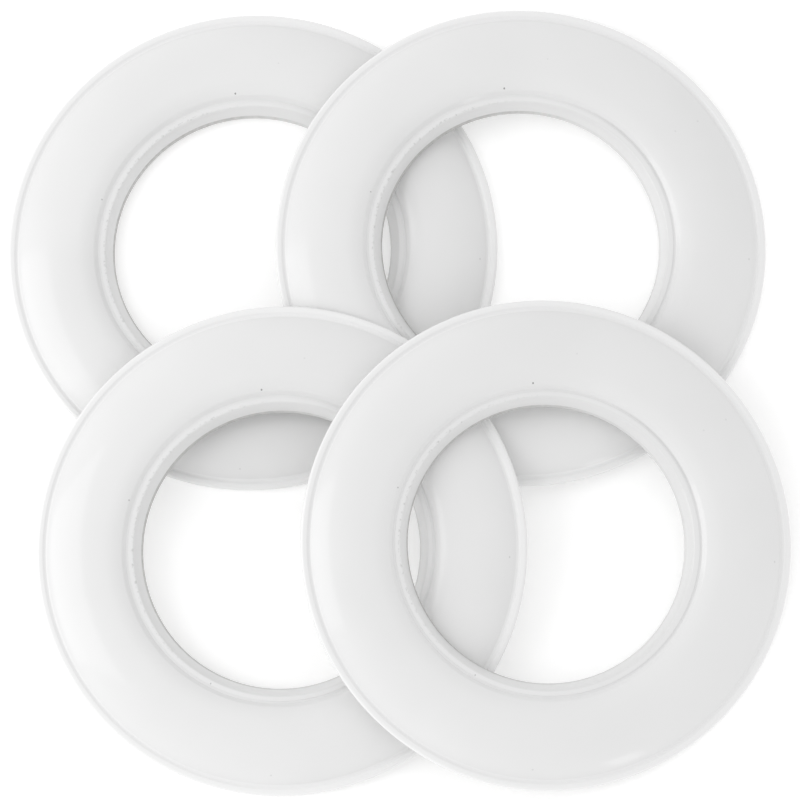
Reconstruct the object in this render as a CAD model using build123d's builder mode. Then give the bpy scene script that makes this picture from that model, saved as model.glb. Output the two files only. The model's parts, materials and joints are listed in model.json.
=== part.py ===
from build123d import *

# Set of four open-centre wheel cover rings for small trailer wheels, laid out overlapping on a bench.
#
# Each cover is one moulding in white rubber. From the wheel's axis outwards it has a foot and a
# throat land that grip the wheel at the bead seat, a leaning lip wall, a flat ledge, a narrow
# groove, a crowned band that hides the tyre's sidewall, a valley, and a rolled rim that lies
# against the tyre. The back of the band is hollow, because the wall has one thickness throughout.
#
# A ring comes to rest where its centre is as low as it can go on the bench and on the rings that
# are already there, so its height and tilt follow from the section and the layout.
# Units are millimetres, +Z is up, and the origin is on the bench under the middle of the set.

import os
from math import asin, atan2, cos, degrees, radians, sin, tan

import numpy as np
from scipy.optimize import linprog

# ---- Section of a ring: radii and widths ----
throat_radius = 101.6  # half of the 8 inch bead seat
wall = 2.6
foot_width = 1.2  # flat end of the foot
lip_lean = 6.4  # the lip wall's outward lean, from throat to ledge
ledge_width = 3.8
groove_width = 1.6
shoulder_run = 2.8  # steep shoulder beside the groove
inner_run = 12.6  # from the shoulder's top out to the crest
outer_run = 44.6  # from the crest out to the valley
rim_slope = 2.2  # inner side of the rolled rim
rim_width = 6.6  # from the valley to the outside

# ---- Section of a ring: heights ----
lip_drop = 1.5  # foot below the rim's underside
foot_height = 3.8  # tapered foot under the throat land
land_length = 3.0
valley_floor = 3.2  # thickness under the valley
rim_rise = 1.5  # rim's top above the valley
outer_fall = 15.3  # from the crest down to the valley
inner_fall = 2.9  # from the crest down to the shoulder's top
ledge_fall = 5.3  # from the crest down to the ledge
groove_depth = 0.5

# ---- Section of a ring: curves ----
band_turn = 63.0  # degrees of a quarter ellipse in the band's outer side
foot_round = 0.4
ledge_round = 1.6
groove_round = 0.2
shoulder_round = 3.0
valley_round = 2.0
rim_round = 1.2

# ---- Layout: each ring's centre, from the first one's, in the order they are laid down ----
layout = {
    "back_left_ring": (0.0, 0.0),
    "back_right_ring": (197.2, -2.7),
    "front_left_ring": (23.0, -230.3),
    "front_right_ring": (215.9, -231.5),
}
seat_gap = 0.3  # air between a ring and what it lies on

# ---- How finely a resting place is worked out ----
point_spacing = 0.5  # degrees around a ring
arc_points_count = 25  # along an arc of the section
settle_rounds = 24  # each goes half of the way to the resting place

# ---- Radii that follow ----
ledge_radius = throat_radius + lip_lean
groove_radius = ledge_radius + ledge_width
shoulder_foot_radius = groove_radius + groove_width
shoulder_radius = shoulder_foot_radius + shoulder_run
crest_radius = shoulder_radius + inner_run
valley_radius = crest_radius + outer_run
outer_radius = valley_radius + rim_width

# ---- Heights that follow, from the end of the foot ----
land_top = foot_height + land_length
valley_height = lip_drop + valley_floor
rim_top = valley_height + rim_rise
nose_radius = (rim_top - lip_drop) / 2  # the rim's outer side is a half circle
crest_height = valley_height + outer_fall
shoulder_height = crest_height - inner_fall
ledge_height = crest_height - ledge_fall
groove_height = ledge_height - groove_depth
hollow_ceiling = groove_height - wall

# ---- Curves that follow ----
band_reach = outer_run / sin(radians(band_turn))
band_depth = outer_fall / (1 - cos(radians(band_turn)))
band_centre = (crest_radius, crest_height - band_depth)
inner_arc = (inner_run**2 + inner_fall**2) / (2 * inner_fall)
inner_turn = degrees(asin(inner_run / inner_arc))
inner_centre = (crest_radius, crest_height - inner_arc)
hollow_end = degrees(asin((lip_drop - band_centre[1]) / (band_depth - wall)))
hollow_radius = crest_radius + (band_reach - wall) * cos(radians(hollow_end))
lean_angle = atan2(lip_lean, ledge_height - land_top)
shoulder_angle = atan2(shoulder_height - groove_height, shoulder_run)

# ---- Corners of the section, as radius and height ----
foot_outside = (throat_radius + wall, 0)
foot_inside = (throat_radius + wall - foot_width, 0)
land_start = (throat_radius, foot_height)
land_end = (throat_radius, land_top)
ledge_inside = (ledge_radius, ledge_height)
ledge_outside = (groove_radius, ledge_height)
groove_inside = (groove_radius, groove_height)
groove_outside = (shoulder_foot_radius, groove_height)
shoulder = (shoulder_radius, shoulder_height)
valley = (valley_radius, valley_height)
rim_inside = (valley_radius + rim_slope, rim_top)
nose_centre = (outer_radius - nose_radius, rim_top - nose_radius)
nose_top = (nose_centre[0], rim_top)
nose_end = (outer_radius, nose_centre[1])
nose_bottom = (nose_centre[0], lip_drop)
hollow_edge = (hollow_radius, lip_drop)
hollow_crest = (crest_radius, crest_height - wall)
hollow_shoulder = (
    crest_radius - (inner_arc - wall) * sin(radians(inner_turn)),
    inner_centre[1] + (inner_arc - wall) * cos(radians(inner_turn)),
)
hollow_step = (shoulder_foot_radius + wall * tan(shoulder_angle / 2), hollow_ceiling)
lip_back_head = (
    throat_radius + wall / cos(lean_angle) + (hollow_ceiling - land_top) * tan(lean_angle),
    hollow_ceiling,
)
lip_back_bend = (throat_radius + wall, land_top - wall * tan(lean_angle / 2))


def arc_points(centre, reach, depth, start, end):
    """Points along an elliptical arc between two angles, as rows of radius and height."""
    angle = np.radians(np.linspace(start, end, arc_points_count))
    return np.column_stack([centre[0] + reach * np.cos(angle), centre[1] + depth * np.sin(angle)])


# The lines that two rings can meet on. The groove is bridged, because no edge fits into it.
top_line = np.vstack([
    land_end,
    ledge_inside,
    ledge_outside,
    arc_points(inner_centre, inner_arc, inner_arc, 90 + inner_turn, 90),
    arc_points(band_centre, band_reach, band_depth, 90, 90 - band_turn),
    rim_inside,
    arc_points(nose_centre, nose_radius, nose_radius, 90, 0),
])
nose_line = arc_points(nose_centre, nose_radius, nose_radius, 0, -90)
back_line = np.vstack([
    foot_inside,
    foot_outside,
    lip_back_head,
    hollow_step,
    hollow_crest,
    hollow_edge,
    nose_line,
])


def around(line):
    """A section line turned about the ring's axis, as points."""
    angle = np.radians(np.arange(0, 360, point_spacing))[:, None]
    radius, height = line.T
    spun = np.stack([radius * np.cos(angle), radius * np.sin(angle), height + 0 * angle], axis=-1)
    return spun.reshape(-1, 3)


def foot_plane(centre, height, slope_x, slope_y):
    """Plane of a ring's foot, at `height` over `centre` and rising by the two slopes."""
    return Plane((*centre, height), x_dir=(1, 0, slope_x), z_dir=(-slope_x, -slope_y, 1))


def directions(plane):
    """The plane's three directions, as the rows of a matrix."""
    return np.array([tuple(plane.x_dir), tuple(plane.y_dir), tuple(plane.z_dir)])


def height_over(plane, places):
    """Height at which each place would touch the top of the ring that lies in `plane`."""
    local = (places - np.array(tuple(plane.origin))) @ directions(plane).T
    radius = np.hypot(local[:, 0], local[:, 1])
    far_below = -1000.0
    top = np.interp(radius, *top_line.T, left=far_below, right=far_below)
    return places[:, 2] + (top - local[:, 2]) / plane.z_dir.Z


def settle(centre, lower_planes):
    """Foot plane in which a ring rests over `centre`, on the bench and the rings under it.

    Every point of its back stays above the bench and above those rings. Each round finds the
    lowest such plane from where the last round put the points, and goes half of the way there.
    """
    back = around(back_line)
    pose = np.array([len(layout) * crest_height, 0.0, 0.0])  # height and the two slopes, from above
    for _ in range(settle_rounds):
        arm = back @ directions(foot_plane(centre, *pose))
        places = arm + (*centre, pose[0])
        support = np.max([0 * places[:, 2]] + [height_over(p, places) for p in lower_planes], axis=0)
        rise = arm[:, 2] - arm[:, :2] @ pose[1:]
        lever = np.column_stack([np.ones(len(arm)), arm[:, :2]])
        lowest = linprog([1, 0, 0], A_ub=-lever, b_ub=rise - support, bounds=[(None, None)] * 3)
        pose = (pose + lowest.x) / 2
    return foot_plane(centre, pose[0] + seat_gap, *pose[1:])


def lay_out():
    """Foot plane of every ring, with the middle of the set's outline over the origin."""
    first, *others = layout
    planes = {first: foot_plane(layout[first], 0, 0, 0)}
    for name in others:
        planes[name] = settle(layout[name], list(planes.values()))
    outline = np.vstack(
        [around(nose_line) @ directions(p) + tuple(p.origin) for p in planes.values()]
    )
    middle_x, middle_y, _ = (outline.min(axis=0) + outline.max(axis=0)) / 2
    shift = Vector(-middle_x, -middle_y, 0)
    return {name: Plane(p.origin + shift, p.x_dir, p.z_dir) for name, p in planes.items()}


def make_ring(name, plane):
    """One cover, with its foot in `plane`, written to its STEP file."""
    section_plane = Plane(plane.origin, x_dir=plane.x_dir, z_dir=-plane.y_dir)
    with BuildPart() as ring:
        with BuildSketch(section_plane) as section:
            with BuildLine():
                Polyline(
                    foot_outside, foot_inside, land_start, land_end, ledge_inside,
                    ledge_outside, groove_inside, groove_outside, shoulder,
                )
                CenterArc(inner_centre, inner_arc, 90, inner_turn)
                EllipticalCenterArc(
                    band_centre, band_reach, band_depth, start_angle=90, arc_size=-band_turn
                )
                Polyline(valley, rim_inside, nose_top)
                ThreePointArc(nose_top, nose_end, nose_bottom)
                Line(nose_bottom, hollow_edge)
                EllipticalCenterArc(
                    band_centre, band_reach - wall, band_depth - wall,
                    start_angle=hollow_end, arc_size=90 - hollow_end,
                )
                CenterArc(inner_centre, inner_arc - wall, 90, inner_turn)
                Polyline(hollow_shoulder, hollow_step, lip_back_head, lip_back_bend, foot_outside)
            make_face()
            for corners, radius in (
                ((foot_inside, foot_outside), foot_round),
                ((ledge_inside,), ledge_round),
                ((ledge_outside, groove_inside, groove_outside), groove_round),
                ((shoulder,), shoulder_round),
                ((valley,), valley_round),
                ((rim_inside,), rim_round),
            ):
                for corner in corners:
                    fillet(section.vertices().sort_by_distance(corner)[0], radius)
        revolve(axis=Axis(plane.origin, plane.z_dir))
    ring.part.label = name
    export_step(ring.part, f"parts/{name}.step")
    return ring.part


os.makedirs("parts", exist_ok=True)
planes = lay_out()
rings = {name: make_ring(name, plane) for name, plane in planes.items()}
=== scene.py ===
"""White rubber wheel covers, laid out overlapping on a studio floor.

Each cover is an open-centre ring for a small trailer wheel, moulded in one piece in glossy white
rubber. Its section is drawn once, turned about the wheel's axis, and copied to where each ring of
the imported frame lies.
"""

import json
from math import asin, atan2, cos, hypot, pi, radians, sin, tan, tau

import bmesh
import bpy
from bpy.props import FloatProperty, IntProperty, PointerProperty, StringProperty
from bpy.types import Operator, Panel, PropertyGroup
from mathutils import Matrix, Vector


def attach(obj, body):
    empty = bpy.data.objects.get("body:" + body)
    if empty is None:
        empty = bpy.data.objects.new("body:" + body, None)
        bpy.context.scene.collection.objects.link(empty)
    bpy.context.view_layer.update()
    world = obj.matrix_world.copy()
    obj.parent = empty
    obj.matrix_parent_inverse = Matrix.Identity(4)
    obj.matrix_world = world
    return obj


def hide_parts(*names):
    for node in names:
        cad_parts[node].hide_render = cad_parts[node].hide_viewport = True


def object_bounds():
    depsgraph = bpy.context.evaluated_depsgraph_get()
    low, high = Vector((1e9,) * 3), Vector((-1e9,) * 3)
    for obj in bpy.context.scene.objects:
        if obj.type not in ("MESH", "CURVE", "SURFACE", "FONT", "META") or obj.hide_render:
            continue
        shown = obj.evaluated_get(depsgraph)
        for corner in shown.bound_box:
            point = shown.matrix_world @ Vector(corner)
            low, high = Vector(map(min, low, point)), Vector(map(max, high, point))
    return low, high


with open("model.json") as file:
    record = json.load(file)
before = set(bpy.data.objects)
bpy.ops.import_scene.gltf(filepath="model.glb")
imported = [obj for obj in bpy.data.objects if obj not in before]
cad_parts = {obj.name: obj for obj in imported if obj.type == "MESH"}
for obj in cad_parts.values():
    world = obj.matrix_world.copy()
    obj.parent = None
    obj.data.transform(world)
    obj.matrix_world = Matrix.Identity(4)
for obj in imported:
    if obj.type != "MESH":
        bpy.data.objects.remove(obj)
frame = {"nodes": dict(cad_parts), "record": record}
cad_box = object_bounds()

bl_info = {
    "name": "White rubber wheel covers",
    "version": (1, 0, 0),
    "blender": (4, 5, 0),
    "location": "3D View > Sidebar > Wheel Covers",
    "description": "Models moulded rubber wheel covers around the packed frame, and their studio",
    "category": "Add Mesh",
}

MM = 0.001
PANEL_TAB = "Wheel Covers"
UV_NAME = "around_and_across"
ACROSS = "across"  # how far along the section's outline each point is, in metres

# How finely the ring is drawn: steps along each arc of the section, and small distances.
INNER_STEPS = 10
BAND_STEPS = 30
NOSE_STEPS = 12
HOLLOW_BAND_STEPS = 20
HOLLOW_INNER_STEPS = 6
ROUNDING_STEPS = 5
AT_CORNER = 0.01 * MM  # a point this close to a corner is that corner
SAME_POINT = 0.001 * MM  # points closer than this are merged where the turn closes
SHARP = radians(40)  # an edge that turns more than this stays sharp

NOISE_SPREAD = (0.3, 0.7)  # where most of a noise's values lie
CUT = 0.8 * MM  # how far up the lip wall the trimming shows

# Stretches around the ring: the middle, half the length and the fade, in parts of a turn.
# The groove's painted shade is heavier along this stretch.
GROOVE_SHADE_STRETCH = (0.11, 0.03, 0.05)  # of the groove
NICKED_STRETCH = (0.45, 0.12, 0.1)  # of the ledge
# The painted contact shadow on the lip's end lies along this stretch.
LIP_SHADOW_STRETCH = (0.46, 0.14, 0.18)  # of the lip's end

SPECK_RADIUS = 140 * MM  # where distances around the ring are true
SPECKS = (  # degrees around, radius in millimetres, size in millimetres, strength
    (96, 117, 1.4, 0.75),
    (161, 116, 1.4, 0.35),
    (242, 110, 1.2, 0.4),
    (36, 160, 1.3, 0.12),
    (37, 141, 1.2, 0.12),
    (82, 140, 1.1, 0.12),
    (357, 167, 1.2, 0.2),
    (267, 165, 1.2, 0.15),
)

# The studio, in metres.
KEY_SOFTBOX = ((-3.44, -0.24, 2.08), (2.72, 3.84))  # its place, then its width and height
LOW_SOFTBOX = ((0.86, -1.41, 0.4), (0.22, 0.4))
FLOOR_WIDTH = 12.0
CAMERA_REACH = 100.0  # how far the camera sees
TOWARDS_CAMERA = (0.0502, -0.2406, 0.9693)  # a direction, from the set to the camera

MOUNTS = {mount["name"]: mount for mount in frame["record"]["mounts"]}
RINGS = list(frame["nodes"])


# ---------------------------------------------------------------- sizes and colours


def length(name, millimetres, description):
    """A length that the sidebar shows, kept in metres."""
    return FloatProperty(
        name=name, description=description, default=millimetres * MM, unit="LENGTH", precision=5
    )


def hex_colour(name, hex_value, description):
    """A colour that the sidebar shows, as an sRGB hex value."""
    return StringProperty(name=name, description=description, default=hex_value)


class CoverSection(PropertyGroup):
    """Section of one cover, from the throat outwards."""

    throat_radius: length("Throat radius", 101.6, "Half of the bead seat that the lip grips")
    wall: length("Wall", 2.6, "Thickness of the moulded rubber")
    foot_width: length("Foot width", 1.2, "Flat end of the foot")
    foot_height: length("Foot height", 3.8, "Tapered foot under the throat land")
    foot_round: length("Foot rounding", 0.4, "Rounding of the foot's two edges")
    land_length: length("Land length", 3.0, "Straight part of the throat")
    lip_lean: length("Lip lean", 6.4, "How far the lip wall leans out, from throat to ledge")
    lip_drop: length("Lip drop", 1.5, "How far the foot reaches below the rim's underside")
    ledge_width: length("Ledge width", 3.8, "Flat ledge at the top of the lip")
    ledge_round: length("Ledge rounding", 1.6, "Rounding from the lip wall onto the ledge")
    ledge_fall: length("Ledge fall", 5.3, "From the crest down to the ledge")
    groove_width: length("Groove width", 1.6, "Floor of the groove beside the ledge")
    groove_depth: length("Groove depth", 0.5, "Groove floor below the ledge")
    groove_round: length("Groove rounding", 0.2, "Rounding of the groove's edges")
    shoulder_run: length("Shoulder run", 2.8, "Radial width of the steep shoulder")
    shoulder_round: length("Shoulder rounding", 3.0, "Rounding at the top of the shoulder")
    inner_run: length("Inner run", 12.6, "From the shoulder's top out to the crest")
    inner_fall: length("Inner fall", 2.9, "From the crest down to the shoulder's top")
    outer_run: length("Outer run", 44.6, "From the crest out to the valley")
    outer_fall: length("Outer fall", 15.3, "From the crest down to the valley")
    valley_floor: length("Valley floor", 3.2, "Thickness under the valley")
    valley_round: length("Valley rounding", 2.0, "Rounding of the valley")
    rim_slope: length("Rim slope", 2.2, "Radial width of the rim's inner side")
    rim_rise: length("Rim rise", 1.5, "Rim's top above the valley")
    rim_width: length("Rim width", 6.6, "From the valley to the outside")
    rim_round: length("Rim rounding", 1.2, "Rounding from the rim's inner side onto its top")
    hollow_round: length("Hollow rounding", 1.2, "Rounding of the corners at the back")
    band_turn: FloatProperty(
        name="Band turn", description="Part of a quarter ellipse in the band's outer side",
        default=radians(63), subtype="ANGLE",
    )
    steps_around: IntProperty(
        name="Steps around", description="Divisions of the full turn", default=288, min=24
    )


class RubberLook(PropertyGroup):
    """Colours and finish of the moulded rubber."""

    white: hex_colour("White", "EDEDED", "The rubber")
    shade: hex_colour("Shade", "EAEAEA", "Its slightly greyer patches")
    # The rim colour is painted light: a whiter tint that lifts the rim and the valley beside it out
    # of their shade.
    rim: hex_colour("Rim", "F3F3F3", "The rim, the cleanest part")
    back: hex_colour("Back", "E9E9E8", "The duller back of the cover")
    # This colour is also painted shade: it darkens the groove and the lip wall, and is real dirt
    # only in the nicks.
    dust_and_shade: hex_colour("Dust", "C2C2C1", "Dust that settles in the groove")
    # The cut colour is painted shade on the lip's trimmed end all round, and a painted contact
    # shadow along one stretch of it.
    cut: hex_colour("Cut", "B0AFAC", "Trimmed end of the lip, where dirt clings")
    speck: hex_colour("Speck", "4A4A48", "Dark specks in the rubber")
    gloss: FloatProperty(name="Gloss", description="Roughness of the moulded face", default=0.33)
    peel: length("Peel depth", 0.012, "Depth of the faint ripple that the mould leaves")


class StudioLook(PropertyGroup):
    """Camera, floor and lights."""

    floor: hex_colour("Floor", "F7F7F7", "The painted floor")
    floor_glow: FloatProperty(
        name="Floor glow", description="Light of the lit floor itself", default=0.26
    )
    air: FloatProperty(name="Air", description="Even light from all round", default=0.85)
    lens: FloatProperty(name="Lens", description="Focal length in millimetres", default=740.0)
    view_width: length("View width", 584.5, "Width of the view at the middle of the set")
    aim_right: length("Aim right", 3.0, "How far right of the middle of the set the camera aims")
    aim_front: length("Aim front", 6.8, "How far in front of the middle of the set the camera aims")
    key_power: FloatProperty(
        name="Key power", description="Big softbox on the left", default=46.0, subtype="POWER"
    )
    low_power: FloatProperty(
        name="Low power", description="Small low softbox in front", default=0.6, subtype="POWER"
    )


# ---------------------------------------------------------------- small tools


def linear(hex_value):
    """An sRGB hex value as linear red, green, blue and alpha."""
    channels = [int(hex_value[i:i + 2], 16) / 255 for i in (0, 2, 4)]
    return [c / 12.92 if c <= 0.04045 else ((c + 0.055) / 1.055) ** 2.4 for c in channels] + [1.0]


def add_node(tree, kind, values=None, links=None, **settings):
    """Adds a node with its settings, the values of its free sockets, and its links."""
    made = tree.nodes.new(kind)
    for name, value in settings.items():
        setattr(made, name, value)
    for name, value in (values or {}).items():
        made.inputs[name].default_value = value
    for name, socket in (links or {}).items():
        tree.links.new(socket, made.inputs[name])
    return made


def select_nothing():
    """Goes to object mode and selects nothing."""
    if bpy.context.object and bpy.context.object.mode != "OBJECT":
        bpy.ops.object.mode_set(mode="OBJECT")
    bpy.ops.object.select_all(action="DESELECT")


def select_points(test):
    """Selects the points of the mesh in edit mode that pass a test, and no others."""
    bpy.ops.mesh.select_mode(type="VERT")
    bpy.ops.mesh.select_all(action="DESELECT")
    data = bpy.context.object.data
    mesh = bmesh.from_edit_mesh(data)
    for point in mesh.verts:
        point.select = test(point.co)
    mesh.select_flush(True)
    bmesh.update_edit_mesh(data)


# ---------------------------------------------------------------- the ring


def elliptical(centre, reach, depth, start, end, steps):
    """Points of an elliptical arc between two angles, as radius and height, without its start."""
    turns = [start + (end - start) * i / steps for i in range(1, steps + 1)]
    return [(centre[0] + reach * cos(t), centre[1] + depth * sin(t)) for t in turns]


def section_outline(s):
    """The section's outline from the foot over the band and back underneath, as radius and height.

    Returns the points and the corners to round, each with its radius.
    """
    ledge_radius = s.throat_radius + s.lip_lean
    groove_radius = ledge_radius + s.ledge_width
    shoulder_foot = groove_radius + s.groove_width
    shoulder_radius = shoulder_foot + s.shoulder_run
    crest_radius = shoulder_radius + s.inner_run
    valley_radius = crest_radius + s.outer_run
    outer_radius = valley_radius + s.rim_width

    land_top = s.foot_height + s.land_length
    valley_height = s.lip_drop + s.valley_floor
    rim_top = valley_height + s.rim_rise
    nose = (rim_top - s.lip_drop) / 2
    crest_height = valley_height + s.outer_fall
    ledge_height = crest_height - s.ledge_fall
    groove_height = ledge_height - s.groove_depth
    ceiling = groove_height - s.wall

    reach = s.outer_run / sin(s.band_turn)
    depth = s.outer_fall / (1 - cos(s.band_turn))
    band = (crest_radius, crest_height - depth)
    inner = (s.inner_run**2 + s.inner_fall**2) / (2 * s.inner_fall)
    inner_turn = asin(s.inner_run / inner)
    inner_centre = (crest_radius, crest_height - inner)
    hollow_end = asin((s.lip_drop - band[1]) / (depth - s.wall))
    lean = atan2(s.lip_lean, ledge_height - land_top)
    steep = atan2(crest_height - s.inner_fall - groove_height, s.shoulder_run)
    nose_centre = (outer_radius - nose, rim_top - nose)

    foot_outside = (s.throat_radius + s.wall, 0)
    foot_inside = (foot_outside[0] - s.foot_width, 0)
    ledge_inside = (ledge_radius, ledge_height)
    ledge_outside = (groove_radius, ledge_height)
    groove_inside = (groove_radius, groove_height)
    groove_outside = (shoulder_foot, groove_height)
    shoulder = (shoulder_radius, crest_height - s.inner_fall)
    valley = (valley_radius, valley_height)
    rim_inside = (valley_radius + s.rim_slope, rim_top)
    hollow_edge = (crest_radius + (reach - s.wall) * cos(hollow_end), s.lip_drop)
    hollow_step = (shoulder_foot + s.wall * tan(steep / 2), ceiling)
    lean_at_ceiling = (ceiling - land_top) * tan(lean)
    lip_back_head = (s.throat_radius + s.wall / cos(lean) + lean_at_ceiling, ceiling)
    lip_back_bend = (foot_outside[0], land_top - s.wall * tan(lean / 2))

    outline = [foot_outside, foot_inside]
    outline += [(s.throat_radius, s.foot_height), (s.throat_radius, land_top)]
    outline += [ledge_inside, ledge_outside, groove_inside, groove_outside, shoulder]
    outline += elliptical(inner_centre, inner, inner, pi / 2 + inner_turn, pi / 2, INNER_STEPS)
    outline += elliptical(band, reach, depth, pi / 2, pi / 2 - s.band_turn, BAND_STEPS)
    outline += [rim_inside, (nose_centre[0], rim_top)]
    outline += elliptical(nose_centre, nose, nose, pi / 2, -pi / 2, NOSE_STEPS)
    outline += [hollow_edge]
    outline += elliptical(
        band, reach - s.wall, depth - s.wall, hollow_end, pi / 2, HOLLOW_BAND_STEPS
    )
    outline += elliptical(
        inner_centre, inner - s.wall, inner - s.wall, pi / 2, pi / 2 + inner_turn,
        HOLLOW_INNER_STEPS,
    )
    outline += [hollow_step, lip_back_head, lip_back_bend]
    rounds = [
        (foot_inside, s.foot_round), (foot_outside, s.foot_round),
        (ledge_inside, s.ledge_round), (ledge_outside, s.groove_round),
        (groove_inside, s.groove_round), (groove_outside, s.groove_round),
        (shoulder, s.shoulder_round), (valley, s.valley_round), (rim_inside, s.rim_round),
        (hollow_edge, s.foot_round), (hollow_step, s.hollow_round), (lip_back_head, s.hollow_round),
    ]
    return outline, rounds


def corner_turn(outline, corner):
    """How far the outline turns at one of its corners, in radians."""
    i = outline.index(corner)
    before = Vector(corner) - Vector(outline[i - 1])
    after = Vector(outline[(i + 1) % len(outline)]) - Vector(corner)
    return abs(before.angle_signed(after))


def draw_section(s):
    """Draws the section beside the wheel's axis: a small plane drawn together to one point, which
    is then extruded along the outline, with its corners rounded by bevels."""
    outline, rounds = section_outline(s)
    first = outline[0]
    bpy.ops.mesh.primitive_plane_add(size=s.foot_width, location=(first[0], 0, first[1]))
    bpy.ops.object.mode_set(mode="EDIT")
    bpy.ops.mesh.merge(type="CENTER")
    for start, end in zip(outline, outline[1:]):
        step = (end[0] - start[0], 0, end[1] - start[1])
        bpy.ops.mesh.extrude_region_move(TRANSFORM_OT_translate={"value": step})
    bpy.ops.object.mode_set(mode="OBJECT")
    bpy.ops.object.transform_apply(location=True)
    bpy.ops.object.mode_set(mode="EDIT")
    bpy.ops.mesh.select_all(action="SELECT")
    bpy.ops.mesh.edge_face_add()
    for corner, radius in rounds:
        place = Vector((corner[0], 0, corner[1]))
        select_points(lambda co: (co - place).length < AT_CORNER)
        setback = radius * tan(corner_turn(outline, corner) / 2)
        bpy.ops.mesh.bevel(
            affect="VERTICES", offset_type="OFFSET", offset=setback, segments=ROUNDING_STEPS,
            profile=0.5, clamp_overlap=False,
        )
    bpy.ops.mesh.select_all(action="SELECT")
    bpy.ops.mesh.delete(type="ONLY_FACE")


def measure_across(mesh):
    """Writes to each point of the drawn section how far along the outline it is.

    It starts at the foot's outside and goes over the top, and returns the whole length.
    """
    across = mesh.verts.layers.float.new(ACROSS)
    mesh.verts.ensure_lookup_table()
    lowest = min(point.co.z for point in mesh.verts)
    start = max((p for p in mesh.verts if p.co.z < lowest + AT_CORNER), key=lambda p: p.co.x)
    inner = min(start.link_edges, key=lambda e: e.other_vert(start).co.x)
    edge, point, travelled = inner, start, 0.0
    start[across] = 0.0
    while True:
        travelled += edge.calc_length()
        point = edge.other_vert(point)
        if point == start:
            return travelled
        point[across] = travelled
        edge = next(e for e in point.link_edges if e != edge)


def map_surface(data, whole):
    """A UV map with U once around the wheel's axis and V once along the section's outline."""
    across = data.attributes[ACROSS].data
    uv = data.uv_layers.new(name=UV_NAME)
    for face in data.polygons:
        middle = atan2(face.center.y, face.center.x) % tau
        far_along = max(across[v].value for v in face.vertices) > whole / 2
        for loop in face.loop_indices:
            vertex = data.loops[loop].vertex_index
            co = data.vertices[vertex].co
            turn = atan2(co.y, co.x) % tau
            if abs(turn - middle) > pi:
                turn += tau if turn < middle else -tau
            along = across[vertex].value
            if far_along and along == 0:
                along = whole
            uv.data[loop].uv = (turn / tau, along / whole)


def turn_ring(s):
    """One ring about the world's Z axis, with its foot at height 0."""
    select_nothing()
    draw_section(s)
    data = bpy.context.object.data
    mesh = bmesh.from_edit_mesh(data)
    whole = measure_across(mesh)
    bmesh.update_edit_mesh(data)
    bpy.ops.mesh.select_all(action="SELECT")
    bpy.ops.mesh.spin(steps=s.steps_around, angle=tau, center=(0, 0, 0), axis=(0, 0, 1))
    bpy.ops.mesh.select_all(action="SELECT")
    bpy.ops.mesh.remove_doubles(threshold=SAME_POINT)
    bpy.ops.mesh.normals_make_consistent(inside=False)
    bpy.ops.object.mode_set(mode="OBJECT")
    map_surface(data, whole)
    bpy.ops.object.shade_smooth_by_angle(angle=SHARP)
    return bpy.context.object, whole


def resting_place(node, s):
    """Where a ring lies: a matrix that takes its foot's plane and axis to the frame's."""
    mount = MOUNTS[node.replace("_ring", "_throat")]
    up = -Vector(mount["axis"])
    side = Vector((up.z, 0, -up.x)).normalized()
    foot = Vector(mount["pos_m"]) - up * (s.foot_height + s.land_length / 2)
    turn = Matrix((side, up.cross(side), up)).transposed().to_4x4()
    return Matrix.Translation(foot) @ turn


def place_on_section(s, radius):
    """How far along the outline the top of the section is at a radius, for marks that lie there."""
    outline, _ = section_outline(s)
    travelled = 0.0
    for start, end in zip(outline, outline[1:]):
        if start[0] <= radius < end[0] and start[1] > s.foot_height:
            share = (radius - start[0]) / (end[0] - start[0])
            return travelled + share * hypot(end[0] - start[0], end[1] - start[1])
        travelled += hypot(end[0] - start[0], end[1] - start[1])
    raise ValueError(f"no top surface at radius {radius}")


# ---------------------------------------------------------------- materials


def near(tree, value, middle, half, fade):
    """A mask that is 1 within `half` of a middle value and falls to 0 over `fade` beyond it."""
    away = add_node(tree, "ShaderNodeMath", {1: middle}, {0: value}, operation="SUBTRACT")
    away = add_node(tree, "ShaderNodeMath", links={0: away.outputs[0]}, operation="ABSOLUTE")
    return add_node(
        tree, "ShaderNodeMapRange",
        {"From Min": half + fade, "From Max": half, "To Min": 0.0, "To Max": 1.0},
        {"Value": away.outputs[0]}, interpolation_type="SMOOTHSTEP",
    ).outputs["Result"]


def ripple(tree, place, size, detail, low, high, clamp=True):
    """A noise of a real size between two values, which it may pass where `clamp` is off."""
    noise = add_node(
        tree, "ShaderNodeTexNoise", {"Scale": 1 / size, "Detail": detail, "Roughness": 0.55},
        {"Vector": place},
    )
    spread_low, spread_high = NOISE_SPREAD
    return add_node(
        tree, "ShaderNodeMapRange",
        {"From Min": spread_low, "From Max": spread_high, "To Min": low, "To Max": high},
        {"Value": noise.outputs["Fac"]}, clamp=clamp,
    ).outputs["Result"]


def overlap(tree, strength, first, *others):
    """A mask of one strength where several masks overlap."""
    mask = add_node(
        tree, "ShaderNodeMath", {1: strength}, {0: first}, operation="MULTIPLY"
    ).outputs[0]
    for other in others:
        mask = add_node(
            tree, "ShaderNodeMath", links={0: mask, 1: other}, operation="MULTIPLY"
        ).outputs[0]
    return mask


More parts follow.
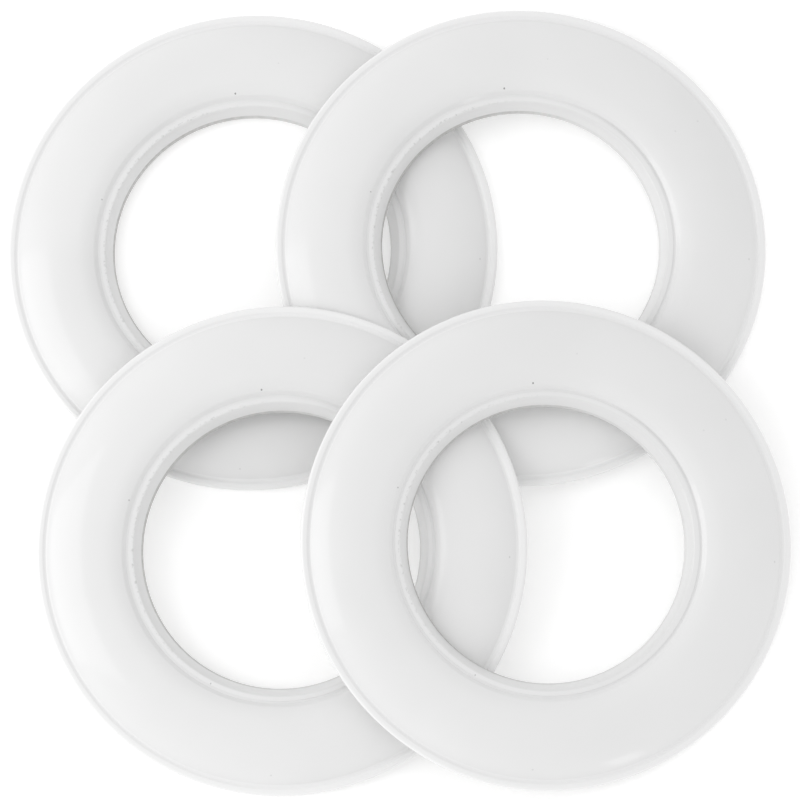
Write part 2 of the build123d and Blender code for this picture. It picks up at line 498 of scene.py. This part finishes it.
def moulded_rubber(s, look, whole):
    """White synthetic rubber, compression moulded between a polished and a plain mould half.

    The polished half gives the band a clean white gloss with a faint orange-peel ripple. The lip
    wall is greyed with painted shade, and its end is rough where it was trimmed by hand and greyed
    with painted shade all round, with a painted contact shadow along one stretch. Nicks lie along
    the ledge with dirt in them, the groove is darkened with painted shade, the rim and the valley
    beside it are whitened with painted light, a few specks and trapped-air pits show on the face,
    and the back is duller.
    """
    material = bpy.data.materials.new("white_moulded_rubber")
    material.use_nodes = True
    tree = material.node_tree
    tree.nodes.clear()

    # Places: in space, and on the surface in metres around and across, true at SPECK_RADIUS.
    place = add_node(tree, "ShaderNodeTexCoord").outputs["Object"]
    uv = add_node(tree, "ShaderNodeUVMap", uv_map=UV_NAME).outputs["UV"]
    turn = add_node(tree, "ShaderNodeSeparateXYZ", links={"Vector": uv}).outputs["X"]
    surface = add_node(
        tree, "ShaderNodeVectorMath", {1: (tau * SPECK_RADIUS, whole, 0)}, {0: uv},
        operation="MULTIPLY",
    ).outputs[0]
    across = add_node(tree, "ShaderNodeSeparateXYZ", links={"Vector": surface}).outputs["Y"]

    ledge_radius = s.throat_radius + s.lip_lean
    groove_radius = ledge_radius + s.ledge_width + s.groove_width / 2
    valley_radius = groove_radius + s.groove_width / 2 + s.shoulder_run + s.inner_run + s.outer_run
    ledge = place_on_section(s, ledge_radius)
    groove = place_on_section(s, groove_radius)
    valley = place_on_section(s, valley_radius - 0.5 * MM)
    nose = place_on_section(s, valley_radius + s.rim_width - s.wall)

    # Masks of the section's parts. The back runs from the rim's nose to the outline's end.
    back = near(
        tree, across, (whole + nose) / 2 + s.wall, (whole - nose) / 2 - s.wall, 2 * s.wall
    )
    # The rim mask reaches 1.5 mm past the rim into the valley, and takes the painted light there.
    rim = near(tree, across, (valley + nose) / 2, (nose - valley) / 2 + 1.5 * MM, 0.8 * MM)
    in_groove = near(tree, across, groove, 0.5 * MM, 0.5 * MM)
    lip_wall = near(tree, across, ledge / 2, ledge / 2 - 0.5 * MM, 1.0 * MM)
    ledge_edge = near(tree, across, ledge, 0.7 * MM, 0.5 * MM)
    foot = s.foot_width + hypot(s.foot_height, s.wall - s.foot_width)
    trimmed = near(tree, across, 0.0, foot + s.land_length + CUT, 0.8 * MM)
    parting = near(tree, across, nose + 0.5 * pi * s.wall, 0.15 * MM, 0.15 * MM)

    # The trimmed end is ragged, and nicks 2 to 3 mm long show here and there on the ledge's edge.
    ragged = ripple(tree, place, 3 * MM, 4.0, 0.55, 1.0)
    nicks = overlap(
        tree, 1.0, ledge_edge, near(tree, turn, *NICKED_STRETCH),
        ripple(tree, place, 2.5 * MM, 3.0, -1.2, 1.0),
    )
    nicks = add_node(tree, "ShaderNodeClamp", links={"Value": nicks}).outputs["Result"]

    # Colour: clean white with slightly greyer patches a hand's breadth apart.
    colour = add_node(
        tree, "ShaderNodeMix", {"A": linear(look.shade), "B": linear(look.white)},
        {"Factor": ripple(tree, place, 90 * MM, 2.0, 0.0, 1.0)}, data_type="RGBA",
    ).outputs["Result"]

    # Shades laid over it in this order: the back, painted light on the rim and valley, an uneven
    # painted shade in the groove and more of it in one stretch, painted shade on the trimmed end
    # all round and a painted contact shadow along one stretch, painted shade on the lip wall, and
    # dirt in the nicks.
    uneven_groove_shade = ripple(tree, place, 14 * MM, 3.0, 0.0, 0.06)
    layers = [
        (back, look.back),
        # Painted light: the rim and the valley beside it are whitened to lift them out of their
        # shade.
        (rim, look.rim),
        # Painted shade in the groove, uneven, and heavier along one stretch.
        (overlap(tree, 1.0, in_groove, uneven_groove_shade), look.dust_and_shade),
        (overlap(tree, 0.3, in_groove, near(tree, turn, *GROOVE_SHADE_STRETCH)), look.dust_and_shade),
        # Painted shade on the trimmed end all round, and a painted contact shadow along one
        # stretch.
        (overlap(tree, 0.15, trimmed, ragged), look.cut),
        (overlap(tree, 0.85, trimmed, ragged, near(tree, turn, *LIP_SHADOW_STRETCH)), look.cut),
        # Painted shade on the lip wall.
        (overlap(tree, 0.12, lip_wall), look.dust_and_shade),
        (overlap(tree, 0.6, nicks), look.dust_and_shade),
    ]

    # Specks, each in a pit of trapped air, fading out over half their size.
    specks = []
    for degrees_round, radius, size, strength in SPECKS:
        spot = (radians(degrees_round) * SPECK_RADIUS, place_on_section(s, radius * MM), 0)
        away = add_node(
            tree, "ShaderNodeVectorMath", {1: spot}, {0: surface}, operation="DISTANCE"
        )
        speck = add_node(
            tree, "ShaderNodeMapRange",
            {"From Min": 0.75 * size * MM, "From Max": 0.25 * size * MM, "To Max": strength},
            {"Value": away.outputs["Value"]}, interpolation_type="SMOOTHSTEP",
        ).outputs["Result"]
        specks.append(speck)
        layers.append((speck, look.speck))
    for mask, shade in layers:
        colour = add_node(
            tree, "ShaderNodeMix", {"B": linear(shade)}, {"A": colour, "Factor": mask},
            data_type="RGBA",
        ).outputs["Result"]
    pits = specks[0]
    for speck in specks[1:]:
        pits = add_node(
            tree, "ShaderNodeMath", links={0: pits, 1: speck}, operation="MAXIMUM"
        ).outputs[0]

    # Gloss: the polished face wanders a little around its roughness. The back, the trimmed end
    # and the groove are rougher.
    rough = ripple(tree, place, 25 * MM, 3.0, look.gloss - 0.03, look.gloss + 0.04)
    for mask, amount in ((back, 0.3), (trimmed, 0.35), (in_groove, 0.15)):
        rough = add_node(
            tree, "ShaderNodeMath", {1: amount}, {0: mask, 2: rough}, operation="MULTIPLY_ADD"
        ).outputs[0]

    # Relief, in peel depths: orange peel, a finer grain, the ragged cut, the parting line of the
    # mould, the pits and the nicks.
    relief = ripple(tree, place, 9 * MM, 1.0, 0.0, 1.0, clamp=False)
    grain = ripple(tree, place, 1.1 * MM, 3.0, 0.0, 0.12, clamp=False)
    rags = overlap(tree, 1.0, trimmed, ripple(tree, place, 1.5 * MM, 3.0, 0.0, 1.0))
    for part, height in (
        (grain, 1.0),
        (rags, 6.0),
        (parting, 6.0),
        (pits, -4.0),
        (nicks, -5.0),
    ):
        relief = add_node(
            tree, "ShaderNodeMath", {1: height}, {0: part, 2: relief}, operation="MULTIPLY_ADD"
        ).outputs[0]
    bump = add_node(
        tree, "ShaderNodeBump", {"Strength": 1.0, "Distance": look.peel}, {"Height": relief}
    )
    skin = add_node(
        tree, "ShaderNodeBsdfPrincipled",
        {
            "IOR": 1.5, "Specular IOR Level": 0.25,
            "Coat Weight": 0.7, "Coat Roughness": 0.12, "Coat IOR": 1.45,
        },
        {"Base Color": colour, "Roughness": rough, "Normal": bump.outputs["Normal"]},
    )
    add_node(tree, "ShaderNodeOutputMaterial", links={"Surface": skin.outputs["BSDF"]})
    return material


def painted_floor(look):
    """A matt white painted floor that glows a little, so that shadows on it stay faint."""
    material = bpy.data.materials.new("white_painted_floor")
    material.use_nodes = True
    paint = material.node_tree.nodes["Principled BSDF"]
    paint.inputs["Base Color"].default_value = linear(look.floor)
    paint.inputs["Roughness"].default_value = 0.9
    paint.inputs["Emission Color"].default_value = linear(look.floor)
    paint.inputs["Emission Strength"].default_value = look.floor_glow
    return material


# ---------------------------------------------------------------- operators


class WHEELCOVERS_OT_add_rings(Operator):
    """Models the moulded ring once and lays a copy where each packed ring lies"""

    bl_idname = "wheelcovers.add_rings"
    bl_label = "Add the cover rings"

    def execute(self, context):
        s = context.scene.cover_section
        ring, whole = turn_ring(s)
        rubber = moulded_rubber(s, context.scene.rubber_look, whole)
        for node in RINGS:
            piece = ring.copy()
            piece.data = ring.data.copy()
            piece.name = piece.data.name = f"{node}_moulding"
            context.collection.objects.link(piece)
            select_nothing()
            piece.select_set(True)
            context.view_layer.objects.active = piece
            piece.matrix_world = resting_place(node, s)
            bpy.ops.object.transform_apply(location=True, rotation=True, scale=True)
            piece.data.materials.append(rubber)
            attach(piece, node.removesuffix("_ring"))
            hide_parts(node)
        bpy.data.objects.remove(ring)
        return {"FINISHED"}


def add_softbox(name, place, size, power, aim):
    """A rectangular softbox that faces a point."""
    bpy.ops.object.light_add(type="AREA", location=place)
    lamp = bpy.context.object
    lamp.name = name
    lamp.data.shape = "RECTANGLE"
    lamp.data.size, lamp.data.size_y = size
    lamp.data.energy = power
    lamp.rotation_euler = (Vector(aim) - Vector(place)).to_track_quat("-Z", "Y").to_euler()


class WHEELCOVERS_OT_add_stage(Operator):
    """Adds the floor, the soft studio light and the camera"""

    bl_idname = "wheelcovers.add_stage"
    bl_label = "Add the studio"

    def execute(self, context):
        look = context.scene.studio_look
        low, high = cad_box
        middle = (low + high) / 2
        select_nothing()
        bpy.ops.mesh.primitive_plane_add(size=FLOOR_WIDTH, location=(0, 0, low.z))
        floor = context.object
        floor.name = "studio_floor"
        floor.data.materials.append(painted_floor(look))
        bpy.ops.object.transform_apply(location=True, rotation=True, scale=True)

        add_softbox("key_softbox", *KEY_SOFTBOX, look.key_power, middle)
        add_softbox("low_softbox", *LOW_SOFTBOX, look.low_power, middle)

        world = bpy.data.worlds.new("studio_air")
        world.use_nodes = True
        air = world.node_tree.nodes["Background"]
        air.inputs["Color"].default_value = (1, 1, 1, 1)
        air.inputs["Strength"].default_value = look.air
        context.scene.world = world

        back = Vector(TOWARDS_CAMERA).normalized()
        camera_data = bpy.data.cameras.new("camera")
        camera_data.lens = look.lens
        distance = look.view_width * look.lens / camera_data.sensor_width
        camera = bpy.data.objects.new("camera", camera_data)
        context.collection.objects.link(camera)
        side = Vector((0, 1, 0)).cross(back).normalized()
        turn = Matrix((side, back.cross(side), back)).transposed().to_4x4()
        aim = Vector((look.aim_right, -look.aim_front, middle.z))
        camera.matrix_world = Matrix.Translation(aim + back * distance) @ turn
        camera_data.clip_end = CAMERA_REACH
        context.scene.camera = camera
        context.scene.view_settings.view_transform = "Standard"
        return {"FINISHED"}


class WHEELCOVERS_PT_panel(Panel):
    """Sidebar panel with the sizes, the colours and the operators"""

    bl_idname = "WHEELCOVERS_PT_panel"
    bl_label = "Wheel covers"
    bl_space_type = "VIEW_3D"
    bl_region_type = "UI"
    bl_category = PANEL_TAB

    def draw(self, context):
        for operator in OPERATORS:
            self.layout.operator(operator.bl_idname)
        scene = context.scene
        for group in (scene.cover_section, scene.rubber_look, scene.studio_look):
            box = self.layout.box()
            for name in group.__annotations__:
                box.prop(group, name)


OPERATORS = (WHEELCOVERS_OT_add_rings, WHEELCOVERS_OT_add_stage)
CLASSES = (CoverSection, RubberLook, StudioLook, *OPERATORS, WHEELCOVERS_PT_panel)


def register():
    for made in CLASSES:
        bpy.utils.register_class(made)
    bpy.types.Scene.cover_section = PointerProperty(type=CoverSection)
    bpy.types.Scene.rubber_look = PointerProperty(type=RubberLook)
    bpy.types.Scene.studio_look = PointerProperty(type=StudioLook)


def unregister():
    for name in ("studio_look", "rubber_look", "cover_section"):
        delattr(bpy.types.Scene, name)
    for made in reversed(CLASSES):
        bpy.utils.unregister_class(made)


def main():
    """Runs every operator in order."""
    register()
    bpy.ops.wheelcovers.add_rings()
    bpy.ops.wheelcovers.add_stage()


if __name__ == "__main__":
    main()
